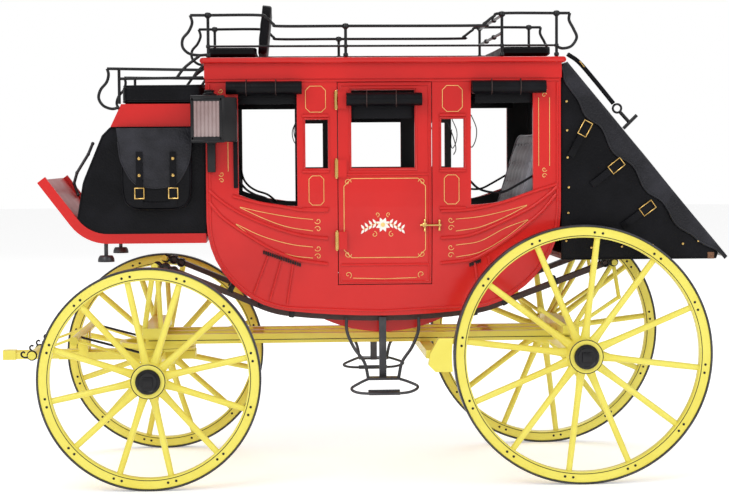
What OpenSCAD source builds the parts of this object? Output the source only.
// Display model of a leather-sprung mail coach at one tenth of full size.
// The model stands on its wheels: +X runs to the rear, +Z up, and the
// coach's left side faces -Y. Every module works from the front axle,
// with x = 0 under the king bolt and z = 0 on the ground, and placed()
// moves it to the middle of the coach. All sizes are millimetres.

/* [Wheels] */
// Distance between the two axles
wheelbase = 257.5; // [250:0.5:310]
// Distance between the wheel planes of one axle
track = 157.5; // [154:0.5:190]
// Front wheel diameter over the tyre
front_wheel_d = 132; // [110:1:134]
// Rear wheel diameter over the tyre
rear_wheel_d = 155; // [130:1:158]
// Width of rim and tyre along the axle
rim_w = 6.5; // [5:0.1:8]
// Radial depth of the wooden rim
rim_depth = 6.5; // [5:0.1:8]
// Thickness of the iron tyre
tyre_t = 1; // [0.8:0.1:1.5]
// Spokes in each wheel
spokes = 12; // [10:1:16]
// Spoke diameter at the hub
spoke_root_d = 4.4; // [3.5:0.1:5]
// Spoke diameter at the rim
spoke_tip_d = 3.4; // [2.5:0.1:4]
// Largest hub radius
hub_r = 10.4; // [9:0.1:12]
// Hub length inboard of the wheel plane
hub_in = 12; // [10:0.5:14]
// Hub length outboard of the wheel plane
hub_out = 12; // [10:0.5:14]
// Radius of the black hub cap
cap_r = 7.2; // [5:0.1:8]
// Height of the black hub cap
cap_h = 3; // [2:0.1:4]
// Radius of the axle arms
arm_r = 3; // [2:0.1:4]
// Radial running clearance of the hubs and the king bolt
run_gap = 0.05; // [0.03:0.01:0.1]

/* [Body] */
// Front edge of the body, behind the front axle
body_front = 34; // [30:0.5:40]
// Length of the body
body_len = 213; // [200:0.5:225]
// Width of the body over the side panels
body_w = 124; // [100:0.5:126]
// Thickness of panels, doors and end walls
wall = 3; // [2:0.1:4]
// Height of the underside at the middle
sill_z = 100; // [99:0.5:104]
// Height of the top of the side panels
panel_top = 243; // [235:0.5:250]
// Height at which the sides begin to curve in
belt_z = 175; // [165:1:185]
// How far the sides curve in at the sill
tuck_in = 9; // [4:0.5:12]
// Radius of the lower front corner
front_corner_r = 55; // [45:1:57]
// Radius of the lower rear corner
rear_corner_r = 60; // [50:1:62]
// Depth of the frieze below the roof
frieze_h = 9; // [7:0.5:12]
// Thickness of the roof at its edge
roof_t = 3.5; // [3:0.1:5]
// Overhang of the roof beyond the body
roof_over = 3; // [2:0.1:4]
// Rise of the roof at its middle
roof_crown = 1.5; // [1:0.1:3]

/* [Doors and windows] */
// Width of the door opening
door_w = 57; // [50:0.5:58]
// Front edge of the door opening, behind the front axle
door_x = 112.4; // [111:0.1:114]
// Lower edge of the door opening
door_low = 119; // [115:0.5:125]
// Upper edge of the door opening
door_high = 241; // [238:0.5:241.5]
// Gap around a door
door_gap = 0.5; // [0.3:0.05:1]
// Frame width around a door window
door_frame = 8; // [6:0.5:10]
// Lower edge of the door and quarter windows
window_low = 189.5; // [185:0.5:195]
// Upper edge of the large windows
window_high = 238; // [232:0.5:239]
// Upper edge of the narrow quarter windows
quarter_high = 218.5; // [212:0.5:222]
// Width of a quarter window
quarter_w = 13.5; // [10:0.5:14]
// Distance from a quarter window to the door opening
quarter_in = 5.5; // [4:0.5:6]
// Lower edge of a large window beside the door
sill_low = 167; // [164:0.5:170]
// Sill radius of a large window
sill_arc = 90; // [80:1:110]
// Length of the front window
front_window = 35; // [30:0.5:36]
// Length of the rear window
rear_window = 37.5; // [30:0.5:38]
// Width of the posts between a large window and the door
post_w = 24; // [23:0.5:25]
// Radius of a rolled curtain
roll_r = 4.7; // [4:0.1:5]

/* [Running gear] */
// Side of a perch pole
perch_h = 6; // [5:0.5:7]
// Distance from the middle perch to an outer one
perch_y = 22; // [18:0.5:26]
// Side of the iron axle beams
beam = 7; // [7:0.1:8]
// Distance from the body's side to the middle of a leather strap
strap_in = 17; // [16:0.5:21]
// Width of a leather strap
strap_w = 7; // [5:0.5:8]
// Thickness of a leather strap
strap_t = 3.2; // [2.5:0.1:4]
// Height of the strap ends
strap_end_z = 131; // [129:0.5:134]
// Free gap between a strap and the body
strap_gap = 0.4; // [0.3:0.1:1]
// Radius of the turntable rings
ring_r = 24; // [20:0.5:26]
// Front end of the pole, ahead of the front axle
pole_reach = 97; // [90:0.5:120]

/* [Boots] */
// Height of the boot floor's underside
boot_z = 145.2; // [140:0.1:148]
// Distance from the body's side to the front boot's side
boot_in = 4; // [2:0.5:8]
// Thickness of leather panels
leather_t = 2.2; // [1.5:0.1:3]
// Height of the driver's seat board
seat_z = 215; // [205:0.5:218]
// Depth of the seat board
seat_board_h = 13.5; // [10:0.5:15]
// Thickness of the driver's cushion
cushion_t = 12; // [8:0.5:14]
// Rear end of the rear boot, behind the front axle
rear_boot_end = 341; // [330:0.5:355]
// Distance from the body's side to the rear boot's side
rear_boot_in = 3; // [1:0.5:8]
// Height of the rear boot's platform
platform_z = 133.5; // [130:0.5:138]

/* [Roof fittings] */
// Distance from the body's side to a roof rail
rail_in = 3.3; // [2:0.1:12]
// Radius of the rail wires
wire_r = 0.9; // [0.8:0.05:1.2]
// Height of the high rails
rail_high = 281; // [275:0.5:285]
// Height of the low middle rail
rail_mid = 274.4; // [268:0.5:276]
// Height of the wire above the roof
rail_low = 262.5; // [260:0.5:264]
// Radius of the rail knobs
knob_r = 2; // [1.5:0.1:2.5]
// Thickness of the roof cushions
roof_pad_t = 5.5; // [4:0.5:7]
// Height of the seat back above the roof
seat_back_h = 32; // [26:0.5:36]

/* [Hidden] */
$fn = 48;

yellow = "#f0df45";
red = "#cc2424";
black = "#1d1d20";
iron = "#3a3a3e";
hide = "#46302c";
grey = "#a9a9ae";
wood = "#7a4a2c";

front_z = front_wheel_d / 2;
rear_z = rear_wheel_d / 2;
half_track = track / 2;
body_back = body_front + body_len;
body_mid = (body_front + body_back) / 2;
half_body = body_w / 2;
inner_half = half_body - wall;
front_corner_z = sill_z + front_corner_r + 3;
rear_corner_z = sill_z + rear_corner_r + 3;
floor_top = max(front_corner_z, rear_corner_z);
tuck_r = (pow(belt_z - sill_z, 2) + pow(tuck_in, 2)) / (2 * tuck_in);
roof_z = panel_top + frieze_h + roof_t;
roof_half = half_body + roof_over + 1;
beam_end = half_track - hub_in - 0.5;
bed_h = 6.5;
bed_top = front_z + beam / 2 + bed_h;
ring_t = 1.6;
ring_gap = 0.3;
perch_low = rear_z + beam / 2;
perch_top = perch_low + perch_h;
perch_front = -6;
pole_low = front_z + beam / 2 + 0.5;
pole_h = 6;
bar_x = -46;
bar_r = 2.6;
bar_z = pole_low + pole_h + 8.5 + bar_r;
tree_x = -72;
door_back = door_x + door_w;
boot_half = half_body - boot_in;
rear_boot_half = half_body - rear_boot_in;
strap_y = half_body - strap_in;
rail_y = half_body - rail_in;
boot_front_x = body_back + 0.9;
shift_x = (pole_reach - rear_boot_end - 8) / 2;

// Shared helpers --------------------------------------------------------

// Moves what is built over the front axle to the coach's own frame
module placed() {
  translate([shift_x, 0, 0]) children();
}

// Makes the same thing on both sides of the coach
module both_sides() {
  children();
  mirror([0, 1, 0]) children();
}

// Turns an outline drawn in x and z into a slab from y = low to y = high
module slab_y(low, high) {
  translate([0, high, 0])
    rotate([90, 0, 0])
      linear_extrude(height = high - low) children();
}

// Turns an outline drawn in y and z into a slab from x = low to x = high
module slab_x(low, high) {
  translate([low, 0, 0])
    rotate([90, 0, 90])
      linear_extrude(height = high - low) children();
}

// A block given by its lowest and highest corners
module block(low, high) {
  translate(low) cube(high - low);
}

// A round rod between two points
module rod(from, to, r) {
  run = to - from;
  translate(from)
    rotate([0, acos(run[2] / norm(run)), atan2(run[1], run[0])])
      cylinder(h = norm(run), r = r, $fn = 24);
}

// A bent wire through a few points, with a small cast bead at each bend
module wire(points, r) {
  for (i = [0 : len(points) - 2]) rod(points[i], points[i + 1], r);
  for (p = points) translate(p) sphere(r = r * 1.2, $fn = 24);
}

// Points on an arc, [x, z], from one angle to another
function arc(centre, r, from, to, steps) =
  [for (i = [0 : steps]) let (a = from + (to - from) * i / steps)
    centre + r * [cos(a), sin(a)]];

// Radius of the flat arc under the body that meets a corner arc smoothly
function sill_r(run, r, rise) = (run * run + rise * rise - r * r) / (2 * (rise - r));

// Body shapes -----------------------------------------------------------

front_centre = [body_front + front_corner_r, front_corner_z];
rear_centre = [body_back - rear_corner_r, rear_corner_z];
front_sill_r = sill_r(body_mid - front_centre[0], front_corner_r, front_corner_z - sill_z);
rear_sill_r = sill_r(rear_centre[0] - body_mid, rear_corner_r, rear_corner_z - sill_z);
front_turn = atan2(front_centre[1] - sill_z - front_sill_r, front_centre[0] - body_mid) + 360;
rear_turn = atan2(rear_centre[1] - sill_z - rear_sill_r, rear_centre[0] - body_mid) + 360;

// The lower edge of the body in x and z, moved in by t
function under_edge(t, first, last) = concat(
  arc(front_centre, front_corner_r - t, first, front_turn, 10),
  arc([body_mid, sill_z + front_sill_r], front_sill_r - t, front_turn, 270, 4),
  arc([body_mid, sill_z + rear_sill_r], rear_sill_r - t, 270, rear_turn, 4),
  arc(rear_centre, rear_corner_r - t, rear_turn, last, 10));

// Body silhouette from the side, moved in by t, up to a height
module silhouette(t, top) {
  polygon(concat(
    [[body_front + t, top]],
    under_edge(t, 180, 360),
    [[body_back - t, top]]));
}

// Half cross-section of the body, moved in by t, on the left side
function side_curve(t) = concat(
  [[-half_body + t, panel_top]],
  arc([-half_body + tuck_r, belt_z], tuck_r - t, 180,
    180 + asin((belt_z - sill_z + 12) / tuck_r), 10));

// The inside width of the body at every height
module inner_section(t) {
  left = side_curve(t);
  polygon(concat(left, [for (i = [len(left) - 1 : -1 : 0]) [-left[i][0], left[i][1]]]));
}

// One whole side skin before doors and windows are cut
module side_skin() {
  outer = side_curve(0);
  inner = side_curve(wall);
  intersection() {
    slab_x(body_front, body_back)
      polygon(concat(outer, [for (i = [len(inner) - 1 : -1 : 0]) inner[i]]));
    slab_y(-half_body - 1, 0) silhouette(0, panel_top);
  }
}

// Outline of a large window: a flat top and a sill that sweeps up
// away from the door. side is 1 behind the door and -1 ahead of it.
module large_window(corner_x, length, side) {
  sweep = asin(length / sill_arc);
  polygon(concat(
    [[corner_x, window_high]],
    [for (p = arc([0, sill_low + sill_arc], sill_arc, 270, 270 + sweep, 6))
      [corner_x + side * p[0], p[1]]],
    [[corner_x + side * length, window_high]]));
}

quarter_front_x = door_x - quarter_in - quarter_w;
quarter_rear_x = door_back + quarter_in;
front_window_x = door_x - post_w;
rear_window_x = door_back + post_w - 0.7;

module left_panel_solid() {
  difference() {
    side_skin();
    slab_y(-half_body - 1, 0) {
      translate([door_x, door_low]) square([door_w, door_high - door_low]);
      for (x = [quarter_front_x, quarter_rear_x])
        translate([x, window_low]) square([quarter_w, quarter_high - window_low]);
      large_window(front_window_x, front_window, -1);
      large_window(rear_window_x, rear_window, 1);
    }
  }
}

// Hinge leaves and knuckles, [low z, high z], front edge of the door
hinge_spans = [[140.8, 151.5], [184, 194.5], [225, 235.2]];
hinge_axis = [door_x - 0.6, -half_body - 1.3];
knuckle_r = 1.1;

module left_door_solid() {
  low = door_low + door_gap;
  high = door_high - door_gap;
  front = door_x + door_gap;
  back = door_back - door_gap;
  difference() {
    intersection() {
      side_skin();
      slab_y(-half_body - 1, 0)
        translate([front, low]) square([back - front, high - low]);
    }
    slab_y(-half_body - 1, 0)
      translate([front + door_frame, window_low])
        square([back - front - 2 * door_frame - 2, window_high - window_low - 2]);
  }
  for (span = hinge_spans) {
    translate([hinge_axis[0], hinge_axis[1], span[0]])
      cylinder(h = span[1] - span[0], r = knuckle_r, $fn = 24);
    block([hinge_axis[0], hinge_axis[1] - 0.5, span[0]],
      [front + 5, hinge_axis[1] + 0.9, span[1]]);
    block([front + 1, hinge_axis[1] + 0.5, span[0]],
      [front + 5, -half_body + 2.5, span[1]]);
  }
}

// Wheels ----------------------------------------------------------------

// Wooden wheel lying flat, its outboard side up
module wheel(d, phase) {
  rim_r = d / 2 - tyre_t;
  root = hub_r - 2;
  color(yellow)
    difference() {
      union() {
        translate([0, 0, -rim_w / 2])
          difference() {
            cylinder(h = rim_w, r = rim_r, $fn = 96);
            translate([0, 0, -1])
              cylinder(h = rim_w + 2, r = rim_r - rim_depth, $fn = 96);
          }
        for (i = [0 : spokes - 1])
          rotate([0, 0, phase + i * 360 / spokes])
            translate([root, 0, 0])
              rotate([0, 90, 0])
                cylinder(h = rim_r - rim_depth / 2 - root,
                  r1 = spoke_root_d / 2, r2 = spoke_tip_d / 2, $fn = 24);
        rotate_extrude()
          polygon([[0, -hub_in], [hub_r - 2, -hub_in], [hub_r, -hub_in / 2],
            [hub_r, hub_out / 2], [hub_r - 0.4, hub_out], [cap_r, hub_out],
            [cap_r, hub_out + cap_h - 1], [cap_r - 1, hub_out + cap_h],
            [0, hub_out + cap_h]]);
      }
      translate([0, 0, -hub_in - 1])
        cylinder(h = hub_in + hub_out - 1, r = arm_r + run_gap);
    }
}

// Iron tyre lying flat
module tyre(d) {
  color(iron)
    translate([0, 0, -rim_w / 2 - 0.2])
      difference() {
        cylinder(h = rim_w + 0.4, r = d / 2, $fn = 96);
        translate([0, 0, -1])
          cylinder(h = rim_w + 3, r = d / 2 - tyre_t, $fn = 96);
      }
}

// Stands what lies flat on its edge at the left end of an axle
module at_left_wheel(x, z) {
  placed()
    translate([x, -half_track, z])
      rotate([90, 0, 0]) children();
}

front_phase = 12;
rear_phase = 23;

module front_left_wheel() { at_left_wheel(0, front_z) wheel(front_wheel_d, front_phase); }
module rear_left_wheel() { at_left_wheel(wheelbase, rear_z) wheel(rear_wheel_d, rear_phase); }
module front_right_wheel() { mirror([0, 1, 0]) front_left_wheel(); }
module rear_right_wheel() { mirror([0, 1, 0]) rear_left_wheel(); }
module front_left_tyre() { at_left_wheel(0, front_z) tyre(front_wheel_d); }
module rear_left_tyre() { at_left_wheel(wheelbase, rear_z) tyre(rear_wheel_d); }
module front_right_tyre() { mirror([0, 1, 0]) front_left_tyre(); }
module rear_right_tyre() { mirror([0, 1, 0]) rear_left_tyre(); }

// Running gear ----------------------------------------------------------

// Square axle beam with its two round arms
module axle(x, z) {
  block([x - beam / 2, -beam_end, z - beam / 2], [x + beam / 2, beam_end, z + beam / 2]);
  both_sides()
    rod([x, -half_track - hub_out + 2.5, z], [x, -beam_end + 2, z], arm_r);
}

module turntable_ring(low, high) {
  translate([0, 0, low])
    difference() {
      cylinder(h = high - low, r = ring_r);
      translate([0, 0, -1]) cylinder(h = high - low + 2, r = ring_r - 4);
    }
}

bolt_r = 2;

module pole_shape() {
  for (side = [-1, 1])
    block([-54, side * 6.5 - 2.5, pole_low], [24, side * 6.5 + 2.5, pole_low + pole_h - 1]);
  block([-62, -4, pole_low], [-12, 4, pole_low + pole_h]);
}

module front_axle() {
  placed() color(yellow)
    difference() {
      union() {
        axle(0, front_z);
        block([-5.5, -52, front_z + beam / 2], [5.5, 52, bed_top]);
        turntable_ring(bed_top, bed_top + ring_t);
      }
      pole_shape();
      translate([0, 0, front_z - beam])
        cylinder(h = 4 * beam, r = bolt_r + run_gap);
    }
}

module rear_axle() {
  placed() color(yellow)
    axle(wheelbase, rear_z);
}

module perches() {
  ring_low = bed_top + ring_t + ring_gap;
  placed() color(yellow) {
    for (y = [-perch_y, 0, perch_y])
      block([perch_front, y - 2.5, perch_low], [wheelbase + beam / 2 + 2, y + 2.5, perch_top]);
    for (x = [perch_front, 60, 205])
      block([x, -perch_y, perch_low + 1], [x + 7, perch_y, perch_top - 1]);
    turntable_ring(ring_low, perch_low);
    block([-3.5, -ring_r + 2, ring_low + 1], [3.5, ring_r - 2, perch_low]);
    translate([0, 0, front_z - beam / 2 - 2])
      cylinder(h = perch_low - front_z + beam / 2 + 3, r = bolt_r);
    translate([0, 0, front_z - beam / 2 - 2])
      cylinder(h = 1.7, r = 3.5);
  }
}

stand_y = strap_y;
front_end = [6, strap_end_z];
rear_end = [wheelbase + 20.5, strap_end_z - 0.5];

module front_bolster() {
  placed() color(yellow) {
    block([-6, -stand_y - 3, perch_top], [6, stand_y + 3, perch_top + 6]);
    both_sides() {
      for (way = [-1, 1])
        rod([5 * way, -stand_y, perch_top + 5], [front_end[0] - 4 + way, -stand_y, front_end[1]], 1.6);
      rod([front_end[0] - 4, -stand_y - 5, front_end[1]],
        [front_end[0] - 4, -stand_y + 5, front_end[1]], 1.8);
    }
  }
}

module rear_stands() {
  x = wheelbase;
  placed() color(yellow) {
    block([x - 7, -stand_y - 3, perch_top], [x + 3, stand_y + 3, perch_top + 5]);
    both_sides() {
      rod([x, -stand_y, perch_top + 4], [rear_end[0] + 4, -stand_y, rear_end[1]], 1.5);
      wire([[x + 1, -stand_y, perch_top + 4], [x + 28, -stand_y, perch_top + 22],
        [rear_end[0] + 4, -stand_y, rear_end[1]]], 1.2);
      rod([rear_end[0] + 4, -stand_y - 5, rear_end[1]],
        [rear_end[0] + 4, -stand_y + 5, rear_end[1]], 1.8);
      rod([x - 5, -stand_y, perch_top + 4], [x - 22, -stand_y, perch_top + 16], 1.3);
    }
  }
}

// Angle at which a straight strap leaves a corner arc of radius r
function leave_angle(end, centre, r, turn) =
  let (to = end - centre)
    atan2(to[1], to[0]) + (turn > 0 ? 360 : 0) + turn * acos(r / norm(to));

// One edge of a strap, lying below the body at a distance t
function strap_edge(t) =
  let (mid_t = strap_gap + strap_t / 2,
    a = leave_angle(front_end, front_centre, front_corner_r + mid_t, 1),
    b = leave_angle(rear_end, rear_centre, rear_corner_r + mid_t, -1) + 360)
    concat(
      [front_end + (t - mid_t) * [cos(a), sin(a)]],
      under_edge(-t, a, b),
      [rear_end + (t - mid_t) * [cos(b), sin(b)]]);

module thoroughbraces() {
  near = strap_edge(strap_gap);
  far = strap_edge(strap_gap + strap_t);
  placed() color(hide)
    both_sides()
      slab_y(-strap_y - strap_w / 2, -strap_y + strap_w / 2)
        polygon(concat(near, [for (i = [len(far) - 1 : -1 : 0]) far[i]]));
}

shoe_gap = 1.2;

module brake_beam() {
  face_x = wheelbase - rear_z;
  low = perch_low - 5;
  placed() color(yellow) {
    block([face_x - 16, -half_track + 3, low], [face_x - 9, half_track - 3, perch_low]);
    both_sides()
      difference() {
        slab_y(-half_track - 3, -half_track + 3)
          polygon([[face_x - 9, rear_z + 11], [face_x + 2, rear_z + 11],
            [face_x + 2, rear_z - 9], [face_x - 11, rear_z - 9],
            [face_x - 15, rear_z - 5], [face_x - 14, rear_z + 2]]);
        translate([wheelbase, 0, rear_z])
          rotate([90, 0, 0])
            cylinder(h = track, r = rear_z + shoe_gap, $fn = 96);
      }
  }
}

// Pole and singletrees, carried by the turning front axle
module pole() {
  tip_z = pole_low + pole_h / 2;
  placed() color(yellow)
    difference() {
      union() {
        pole_shape();
        rod([-60, 0, tip_z], [-pole_reach + 7, 0, tip_z], 3);
        block([-pole_reach, -3.5, tip_z - 3], [-pole_reach + 8, 3.5, tip_z + 3]);
      }
      translate([0, 0, front_z - beam])
        cylinder(h = 4 * beam, r = bolt_r + run_gap + 0.4);
      translate([-pole_reach + 4, 0, tip_z - 10])
        cylinder(h = 20, r = pin_hole_r);
    }
}

pin_hole_r = 1.25;

module splinter_bar() {
  placed() color(yellow) {
    rod([bar_x, -60, bar_z], [bar_x, 60, bar_z], bar_r);
    for (y = [-6.5, 6.5])
      block([bar_x - 3, y - 2.5, pole_low + pole_h - 1], [bar_x + 3, y + 2.5, bar_z]);
    both_sides()
      rod([bar_x, -52, bar_z], [-6, -49, bed_top - 2.5], 0.9);
  }
}

module singletrees() {
  z = bar_z - 9;
  placed() color(yellow)
    both_sides() {
      rod([tree_x, -54, z], [tree_x, -14, z], 2.4);
      rod([tree_x, -34, z], [bar_x - bar_r - 1.2, -34, bar_z - 1], 0.8);
      translate([bar_x - bar_r - 1.2, -34, bar_z - 1]) sphere(r = 1, $fn = 24);
    }
}

// Body ------------------------------------------------------------------

belly_half = 43;
belly_drop = 11.5;

module body_floor() {
  belly_r = (belly_half * belly_half + belly_drop * belly_drop) / (2 * belly_drop);
  belly_y = strap_y - strap_w / 2 - 1;
  placed() color(red) {
    intersection() {
      slab_y(-half_body, half_body)
        difference() {
          silhouette(0, floor_top);
          silhouette(wall, panel_top);
        }
      slab_x(body_front, body_back) inner_section(wall);
    }
    intersection() {
      translate([body_mid, 0, sill_z + 0.5 - belly_drop + belly_r])
        rotate([90, 0, 0])
          cylinder(h = 2 * belly_y, r = belly_r, center = true, $fn = 96);
      block([body_mid - belly_half - 8, -belly_y, sill_z - belly_drop - 1],
        [body_mid + belly_half + 8, belly_y, sill_z + 2.9]);
    }
  }
}

module end_wall(low_x, high_x, low_z) {
  intersection() {
    block([low_x, -half_body, low_z], [high_x, half_body, panel_top]);
    slab_x(body_front, body_back) inner_section(wall);
  }
}

module front_wall() {
  placed() color(red)
    end_wall(body_front, body_front + wall, floor_top);
}

module rear_wall() {
  placed() color(red)
    end_wall(body_back - wall, body_back, floor_top);
}

module left_side_panel() { placed() color(red) left_panel_solid(); }
module right_side_panel() { mirror([0, 1, 0]) left_side_panel(); }
module left_door() { placed() color(red) left_door_solid(); }
module right_door() { mirror([0, 1, 0]) left_door(); }

crown_steps = 16;

module roof() {
  lip = roof_t / 2;
  x0 = body_front - roof_over;
  x1 = body_back + roof_over;
  under = panel_top + frieze_h;
  crown_r = (roof_half * roof_half + roof_crown * roof_crown) / (2 * roof_crown);
  placed() color(red) {
    difference() {
      block([body_front - 0.5, -half_body - 0.6, panel_top],
        [body_back + 0.5, half_body + 0.6, under]);
      block([body_front + wall, -inner_half, panel_top - 1],
        [body_back - wall, inner_half, under + 1]);
    }
    intersection() {
      block([x0 + lip, -roof_half + lip, under], [x1 - lip, roof_half - lip, roof_z + 5]);
      slab_x(x0, x1)
        polygon(concat([[-roof_half, panel_top], [roof_half, panel_top]],
          [for (i = [crown_steps : -1 : -crown_steps])
            let (a = asin(roof_half / crown_r) * i / crown_steps)
              [crown_r * sin(a), roof_z + roof_crown - crown_r * (1 - cos(a))]]));
    }
    for (y = [-1, 1])
      rod([x0 + lip, y * (roof_half - lip), under + lip],
        [x1 - lip, y * (roof_half - lip), under + lip], lip);
    for (x = [x0 + lip, x1 - lip])
      rod([x, -roof_half + lip, under + lip], [x, roof_half - lip, under + lip], lip);
  }
}

// Rolled curtains, [middle height, first x, last x]
curtain_gap = 0.3;

module roll(z, from, to) {
  y = -half_body - roll_r - curtain_gap;
  rod([from, y, z], [to, y, z], roll_r);
}

module side_curtains() {
  placed() color(black)
    both_sides() {
      roll(237.7, front_window_x - front_window - 7, front_window_x + 3);
      roll(237.7, rear_window_x, rear_window_x + rear_window + 7);
    }
}

module left_door_curtain() {
  placed() color(black)
    roll(230.6, door_x + 5.5, door_back - 6.5);
}

module right_door_curtain() { mirror([0, 1, 0]) left_door_curtain(); }

bench_half = inner_half - 7.5;
bench_top = 150;
bench_t = 8;
leg_top = bench_top - bench_t + 1.4;

// Height at which a bench's leg clears the rounded corner of the floor
function arc_floor(corner_z, corner_r, from_centre) =
  corner_z - sqrt(pow(corner_r - wall, 2) - pow(from_centre, 2)) + 0.2;

module front_bench() {
  foot = arc_floor(front_corner_z, front_corner_r, front_corner_r - wall - 29.4);
  placed() color(grey)
    slab_y(-bench_half, bench_half) {
      translate([body_front + wall + 3.4, bench_top - bench_t]) square([29, bench_t]);
      translate([body_front + wall + 29.4, foot]) square([3, leg_top - foot]);
      translate([body_front + wall + 0.3, bench_top + 8]) square([7, 42]);
      translate([body_front + wall + 3.4, bench_top - 1]) square([3, 12]);
    }
}

module rear_bench() {
  back = body_back - wall;
  foot = arc_floor(rear_corner_z, rear_corner_r, rear_corner_r - wall - 36);
  placed() color(grey)
    slab_y(-bench_half, bench_half) {
      translate([back - 39, bench_top - bench_t]) square([34.5, bench_t]);
      translate([back - 39, foot]) square([3, leg_top - foot]);
      polygon([[back - 32, bench_top - 1], [back - 28, bench_top + 22],
        [back - 14, bench_top + 56], [back - 10, bench_top + 62],
        [back - 0.3, bench_top + 62], [back - 0.3, rear_corner_z],
        [back - 5, bench_top - 1]]);
    }
}

// Front boot ------------------------------------------------------------

toe_centre = [-25, boot_z + 28];
toe_angle = 217;
rail_h = 5.8;

// Floor and toe board seen from the side, t thick, measured from below
module toe_profile(t) {
  slope = [cos(toe_angle - 90), sin(toe_angle - 90)];
  outer = arc(toe_centre, 28, 270, toe_angle, 8);
  inner = arc(toe_centre, 28 - t, 270, toe_angle, 8);
  last = len(outer) - 1;
  polygon(concat(
    [[body_front - 0.4, boot_z]], outer,
    [outer[last] + 32 * slope, inner[last] + 32 * slope],
    [for (i = [last : -1 : 0]) inner[i]],
    [[body_front - 0.4, boot_z + t]]));
}

module footboard() {
  placed() color(red) {
    slab_y(-boot_half, boot_half) toe_profile(3);
    both_sides() slab_y(-boot_half, -boot_half + 3) toe_profile(rail_h);
  }
}

module boot_side_panels() {
  z = boot_z + rail_h;
  placed() color(black)
    both_sides()
      slab_y(-boot_half, -boot_half + leather_t)
        difference() {
          polygon([[body_front - 0.4, z], [-25, z], [-60, z + 12.5], [-51, z + 13],
            [-27, seat_z - 5.5], [-22, seat_z - 0.2], [body_front - 0.4, seat_z - 0.2]]);
          translate([-60, 0]) square([40, boot_z + 28 - (28 - rail_h) * cos(47) - 1]);
          translate(toe_centre)
            difference() {
              translate([-40, -40]) square([40, 40]);
              circle(r = 28 - rail_h - 0.1, $fn = 64);
              translate([-45, -16]) rotate(37) square([60, 60]);
            }
        }
}

module boot_apron() {
  placed() color(black)
    block([-6, -boot_half + 3.2, boot_z + 3.2],
      [-6 + leather_t, boot_half - 3.2, seat_z - 0.2]);
}

module driver_seat() {
  placed() color(red) {
    block([-20, -boot_half, seat_z], [body_front - 0.4, boot_half, seat_z + 3]);
    both_sides()
      slab_y(-boot_half - 2, -boot_half + 1)
        polygon([[-22.5, seat_z], [-16, seat_z + seat_board_h],
          [body_front - 0.4, seat_z + seat_board_h], [body_front - 0.4, seat_z]]);
    slab_y(-boot_half - 2, boot_half + 2)
      polygon([[-22.5, seat_z], [-16, seat_z + seat_board_h],
        [-13, seat_z + seat_board_h], [-19.5, seat_z]]);
  }
}

module driver_cushion() {
  z = seat_z + seat_board_h;
  placed() color(black)
    block([-16, -boot_half - 1, z + 0.3], [body_front - 0.7, boot_half + 1, z + cushion_t]);
}

module driver_seat_rail() {
  low = seat_z + seat_board_h;
  y = -boot_half - 1.6;
  top = low + 21;
  placed() color(black)
    both_sides() {
      wire([[body_front - 1.6, y, top - 1], [-24, y, top], [-23, y, top - 6],
        [-28, y, top - 14], [-29, y, top - 18], [-25, y, top - 23], [-21, y, top - 24]], wire_r);
      rod([-17, y, low + 0.2], [-17, y, top], wire_r);
      rod([-17, y, top - 6], [body_front - 1.6, y, top - 5.5], wire_r);
    }
}

// Lamps, pouches and steps ----------------------------------------------

lamp_x = 26;
lamp_low = 205.5;
lamp_high = 232.8;
lamp_in = 4.6;
lamp_out = 22;

module lamps() {
  y_in = -half_body - lamp_in;
  y_out = -half_body - lamp_out;
  placed() color(black)
    both_sides() {
      translate([0, 0, lamp_low])
        linear_extrude(height = lamp_high - lamp_low)
          polygon([[lamp_x, y_in], [lamp_x, y_out], [lamp_x + 19, y_out],
            [lamp_x + 27, y_out + 8], [lamp_x + 27, y_in]]);
      block([lamp_x + 9, -half_body - lamp_in - 1, lamp_low + 8],
        [lamp_x + 15, -half_body - 0.2, lamp_low + 14]);
      block([lamp_x + 9, -half_body - lamp_in - 3, lamp_low - 18],
        [lamp_x + 14, -half_body - 0.2, lamp_low + 1]);
    }
}

// Hanging pouch seen from the side: square top, two round lower corners
module pouch_outline(w, h, r) {
  translate([r, 0]) square([w - 2 * r, h]);
  translate([0, r]) square([w, h - r]);
  for (x = [r, w - r]) translate([x, r]) circle(r = r);
}

module mail_pouches() {
  placed() color(black)
    both_sides()
      slab_y(-boot_half - 6.3, -boot_half - 0.3)
        translate([-16, seat_z - 50]) pouch_outline(41, 49.6, 11);
}

module side_steps() {
  top = sill_z - 0.6;
  y = -half_body + tuck_in + wall / 2;
  foot = 62;
  mid = body_mid - 1;
  placed() color(iron)
    both_sides() {
      block([mid - 2.2, y - 1, foot], [mid + 2.2, y + 1, top]);
      for (side = [-1, 1])
        wire([[mid + side * 22, y, top - 1.2], [mid + side * 21.5, y - 1, 90],
          [mid + side * 17.5, y - 3, 80], [mid + side * 11, y - 5, 71],
          [mid + side * 9.2, y - 6, foot]], 1);
      block([mid - 10, y - 8, foot - 0.8], [mid + 10, y + 1.5, foot + 0.8]);
      for (side = [-1, 1])
        wire([[mid + side * 9.2, y - 7, foot], [mid + side * 18, y - 10, 57.2],
          [mid + side * 9, y - 14, 54.4]], 0.9);
      block([mid - 9.6, y - 18, 53.4], [mid + 9.6, y - 11, 55.2]);
    }
}

module boot_steps() {
  placed() color(black)
    both_sides() {
      rod([-27, -50, boot_z - 9], [-27, -50, boot_z - 0.05], 1.2);
      translate([-27, -50, boot_z - 11.2])
        rotate_extrude()
          polygon(concat([[0, 0], [5, 0]], arc([0, 0.6], 5, 4, 40, 5), [[0, 3.8]]));
    }
}

module brake_lever() {
  placed() color(iron)
    wire([[-54, 46, 172.6], [-56.5, 46, 180], [-54.5, 46, 187], [-47, 46, 199], [-44, 46, 206]], 1);
}

// Roof fittings ---------------------------------------------------------

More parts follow.
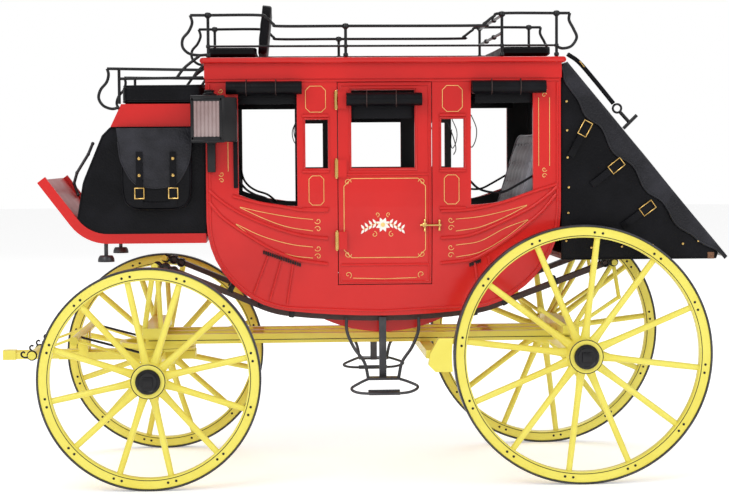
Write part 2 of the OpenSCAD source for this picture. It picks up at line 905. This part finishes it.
pad_z = roof_z + roof_crown + 0.3;
roof_half_pad = 50;

module roof_cushions() {
  placed() color(black)
    for (x = [body_front, body_back - 34])
      block([x, -roof_half_pad, pad_z], [x + 31, roof_half_pad, pad_z + roof_pad_t]);
}

module roof_seat_back() {
  placed() color(black)
    translate([body_front + 31.5, -46, pad_z + 0.5])
      rotate([0, 4, 0])
        cube([6, 92, seat_back_h]);
}

rail_foot = roof_z + 0.5;
front_post_x = body_front + 2;
middle_post_x = body_front + 84;
seat_post_x = body_back - 35;
rear_post_x = body_back - 2;

module rail_solid(y) {
  drop_x = body_front + 34;
  color(black) {
    wire([[front_post_x - 13, y, rail_foot + 2.6], [front_post_x - 15, y, rail_high - 13],
      [front_post_x - 9.5, y, rail_high - 6], [front_post_x - 10.5, y, rail_high],
      [drop_x, y, rail_high], [drop_x + 5, y, rail_mid], [seat_post_x - 12, y, rail_mid],
      [seat_post_x, y, rail_high + 0.7], [rear_post_x, y, rail_high + 0.7],
      [rear_post_x + 8, y, rail_high + 0.7], [rear_post_x + 7.5, y, rail_high - 5],
      [rear_post_x + 12, y, rail_high - 13], [rear_post_x + 8.5, y, rail_high - 20],
      [rear_post_x, y, rail_low - 0.8]], wire_r);
    rod([front_post_x, y, rail_low], [rear_post_x, y, rail_low], wire_r * 0.8);
    for (post = [[front_post_x, rail_high], [middle_post_x, rail_mid],
        [seat_post_x, rail_high], [rear_post_x, rail_high]]) {
      rod([post[0], y, rail_foot], [post[0], y, post[1]], wire_r);
      translate([post[0], y, post[1]]) sphere(r = knob_r, $fn = 24);
      translate([post[0], y, rail_low]) sphere(r = knob_r * 0.7, $fn = 24);
    }
  }
}

module left_roof_rail() { mirror([0, 1, 0]) placed() rail_solid(rail_y); }
module right_roof_rail() { mirror([0, 1, 0]) placed() rail_solid(-rail_y); }

module rear_seat_rail() {
  placed() color(black)
    for (bar = [[rail_high - 0.5, knob_r + 0.3], [rail_low + 7.5, wire_r + 0.3]]) {
      z = bar[0];
      rod([seat_post_x, -rail_y + bar[1], z], [seat_post_x, rail_y - bar[1], z], wire_r);
      for (y = [-rail_y / 3, rail_y / 3])
        translate([seat_post_x, y, z]) sphere(r = knob_r * 0.8, $fn = 24);
    }
}

// Rear boot -------------------------------------------------------------

cover_top = [body_back + 4.6, roof_z - 3];
cover_end = [rear_boot_end + 8, platform_z + 1];
cover_run = (cover_end - cover_top) / norm(cover_end - cover_top);
cover_out = [-cover_run[1], cover_run[0]];

module rear_boot() {
  placed() color(wood) {
    block([boot_front_x, -rear_boot_half + leather_t + 0.2, platform_z],
      [rear_boot_end - 3.4, rear_boot_half - leather_t - 0.2, platform_z + 3.5]);
    block([rear_boot_end - 4, -rear_boot_half - 1, platform_z - 0.5],
      [rear_boot_end, rear_boot_half + 1, platform_z + 3.5]);
  }
}

module rear_boot_sides() {
  inset = leather_t + 0.3;
  top = cover_top - inset * cover_out;
  low = cover_end - inset * cover_out;
  reach = (rear_boot_end - 4.3 - top[0]) / cover_run[0];
  placed() color(black)
    both_sides()
      slab_y(-rear_boot_half, -rear_boot_half + leather_t)
        polygon([[boot_front_x, platform_z], [boot_front_x, top[1]],
          top, top + reach * cover_run, [rear_boot_end - 4.3, platform_z]]);
}

module rear_boot_cover() {
  inner = leather_t * cover_out;
  placed() color(black)
    slab_y(-rear_boot_half - 1, rear_boot_half + 1)
      polygon([cover_top, cover_end, cover_end - inner, cover_top - inner]);
}

perches();
front_bolster();
rear_axle();
rear_stands();
thoroughbraces();
brake_beam();
brake_lever();
body_floor();
left_side_panel();
right_side_panel();
front_wall();
rear_wall();
roof();
side_curtains();
front_bench();
rear_bench();
footboard();
boot_side_panels();
boot_apron();
driver_seat();
driver_cushion();
driver_seat_rail();
lamps();
mail_pouches();
roof_cushions();
roof_seat_back();
left_roof_rail();
right_roof_rail();
rear_seat_rail();
side_steps();
boot_steps();
rear_boot();
rear_boot_sides();
rear_boot_cover();
left_door();
right_door();
left_door_curtain();
right_door_curtain();
front_axle();
pole();
splinter_bar();
singletrees();
front_left_wheel();
front_right_wheel();
rear_left_wheel();
rear_right_wheel();
front_left_tyre();
front_right_tyre();
rear_left_tyre();
rear_right_tyre();
